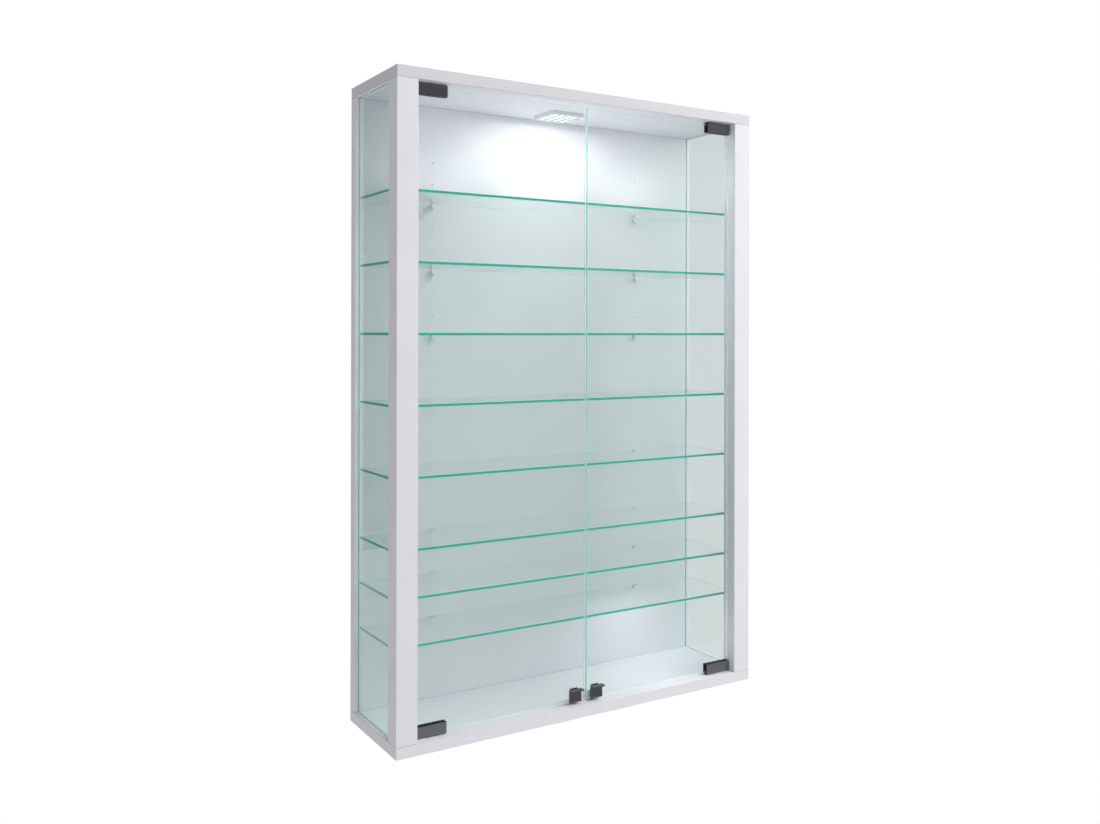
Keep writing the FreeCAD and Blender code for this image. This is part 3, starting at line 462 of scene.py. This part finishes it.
for thing in bpy.context.selected_objects:
    thing.select_set(False)
bpy.ops.mesh.primitive_plane_add(size=FLOOR_SIZE, location=(0, 0, cad_box[0][2] - FLOOR_DROP))
floor = bpy.context.object
floor.name = "studio_floor"
# Matt floor paint. The camera sees it white, and through glass it is as pale as the backdrop.
floor_paint, tree, place = new_material("pale_floor_paint")
ray = add_node(tree, "ShaderNodeLightPath")
ground = add_node(tree, "ShaderNodeBsdfDiffuse", {"Color": linear("D8D8D8")})
straight = add_node(tree, "ShaderNodeMath", {1: 0.5}, {0: ray.outputs["Glossy Depth"]},
                    operation="LESS_THAN")
through = add_node(tree, "ShaderNodeMath", None,
                   {0: ray.outputs["Is Transmission Ray"], 1: straight.outputs[0]}, operation="MULTIPLY")
pale = add_node(tree, "ShaderNodeEmission", {"Color": WHITE, "Strength": BACKDROP_LEVEL})
bright = add_node(tree, "ShaderNodeEmission", {"Color": WHITE, "Strength": 1.0})
behind = add_node(tree, "ShaderNodeMixShader", None,
                  {"Fac": through.outputs[0], 1: ground.outputs["BSDF"], 2: pale.outputs["Emission"]})
shown = add_node(tree, "ShaderNodeMixShader", None,
                 {"Fac": ray.outputs["Is Camera Ray"], 1: behind.outputs["Shader"],
                  2: bright.outputs["Emission"]})
add_node(tree, "ShaderNodeOutputMaterial", None, {"Surface": shown.outputs["Shader"]})
floor.data.materials.append(floor_paint)

world = bpy.data.worlds.new("soft_studio")
bpy.context.scene.world = world
world.use_nodes = True
tree = world.node_tree
tree.nodes.clear()
direction = add_node(tree, "ShaderNodeTexCoord").outputs["Generated"]
sides = add_node(tree, "ShaderNodeSeparateXYZ", None, {"Vector": direction})
light_level = add_node(tree, "ShaderNodeMapRange",
                       {"From Min": -1.0, "From Max": 1.0,
                        "To Min": LEFT_SKY_LEVEL, "To Max": RIGHT_SKY_LEVEL},
                       {"Value": sides.outputs["X"]})
ray = add_node(tree, "ShaderNodeLightPath")
seen = add_node(tree, "ShaderNodeMath", None,
                {0: ray.outputs["Is Glossy Ray"], 1: ray.outputs["Is Transmission Ray"]},
                operation="MAXIMUM")
level = add_node(tree, "ShaderNodeMix", None,
                 {"Factor": seen.outputs[0], "A": light_level.outputs["Result"],
                  "B": studio_level(tree, ray, direction)})
sky = add_node(tree, "ShaderNodeBackground", {"Color": linear("FDFDFF")},
               {"Strength": level.outputs["Result"]})
bright = add_node(tree, "ShaderNodeBackground", {"Color": WHITE, "Strength": 1.0})
shown = add_node(tree, "ShaderNodeMixShader", None,
                 {"Fac": ray.outputs["Is Camera Ray"], 1: sky.outputs["Background"],
                  2: bright.outputs["Background"]})
add_node(tree, "ShaderNodeOutputWorld", None, {"Surface": shown.outputs["Shader"]})


def area_light(name, place, target, size, watts, hex_colour):
    """A soft square lamp aimed at a place. It lights, and is not seen itself."""
    lamp = bpy.data.lights.new(name, "AREA")
    lamp.shape = "SQUARE"
    lamp.size = size
    lamp.energy = watts
    lamp.color = linear(hex_colour)[:3]
    light = bpy.data.objects.new(name, lamp)
    light.location = place
    light.rotation_euler = (Vector(target) - Vector(place)).to_track_quat("-Z", "Y").to_euler()
    light.visible_camera = False
    light.visible_glossy = False
    light.visible_transmission = False
    bpy.context.scene.collection.objects.link(light)


MIDDLE_Y = -0.1
MIDDLE = (0, MIDDLE_Y, 0)
area_light("overhead_softbox", (1.0, -1.7, 3.1), MIDDLE, 2.0, 70, "FFFFFF")
area_light("low_fill", (0.5, -2.4, -0.6), MIDDLE, 1.4, 4.5, "FFFFFF")
# Three small fills over the top shelf light the top's underside, and one the bottom's right half.
UPPER_FILL_Z, TOP_Z = 0.31, 0.44
for side, x, watts in (("left", -0.19, 0.055), ("middle", 0.0, 0.09), ("right", 0.19, 0.055)):
    area_light(f"{side}_upper_fill", (x, MIDDLE_Y, UPPER_FILL_Z), (x, MIDDLE_Y, TOP_Z),
               0.12, watts, "FFFFFF")
FLOOR_FILL_X, FLOOR_FILL_Z, BOTTOM_Z = 0.16, -0.335, -0.44
area_light("floor_fill", (FLOOR_FILL_X, MIDDLE_Y, FLOOR_FILL_Z), (FLOOR_FILL_X, MIDDLE_Y, BOTTOM_Z),
           0.13, 0.055, "FFFFFF")
area_light("right_softbox", (2.1, -1.0, 0.9), MIDDLE, 1.4, 36, "FFFDF8")
area_light("rear_softbox", (0.1, 2.8, 1.6), MIDDLE, 1.0, 42, "FFFFFF")
area_light("left_fill", (-2.9, -0.9, 0.3), MIDDLE, 1.5, 10.5, "FAFAFF")
# The lamp's light starts under the front half of its lens, which softens its pool on the back.
LAMP_Z = 437 * MILLIMETRE
LENS_FRONT = LAMP_Y - 15 * MILLIMETRE
LENS_WIDTH = 45 * MILLIMETRE
area_light("cabinet_lamp", (LAMP_X, LENS_FRONT, LAMP_Z), (LAMP_X, LENS_FRONT, 0),
           LENS_WIDTH, 0.58, "FCFFFD")

# Camera where the photograph was taken from: level, to the left of the cabinet, with the
# frame shifted as the photograph's crop is.
camera = bpy.data.cameras.new("photo_camera")
camera.sensor_width = 36.0
camera.lens = 35.36
camera.shift_x = -0.09695
camera.shift_y = -0.0731
camera_object = bpy.data.objects.new("photo_camera", camera)
camera_object.location = (-0.8265, -1.5476, 0.1070)
camera_object.rotation_euler = (pi / 2, -0.0019, -0.6036)
bpy.context.scene.collection.objects.link(camera_object)
bpy.context.scene.camera = camera_object
bpy.context.scene.view_settings.view_transform = "Standard"
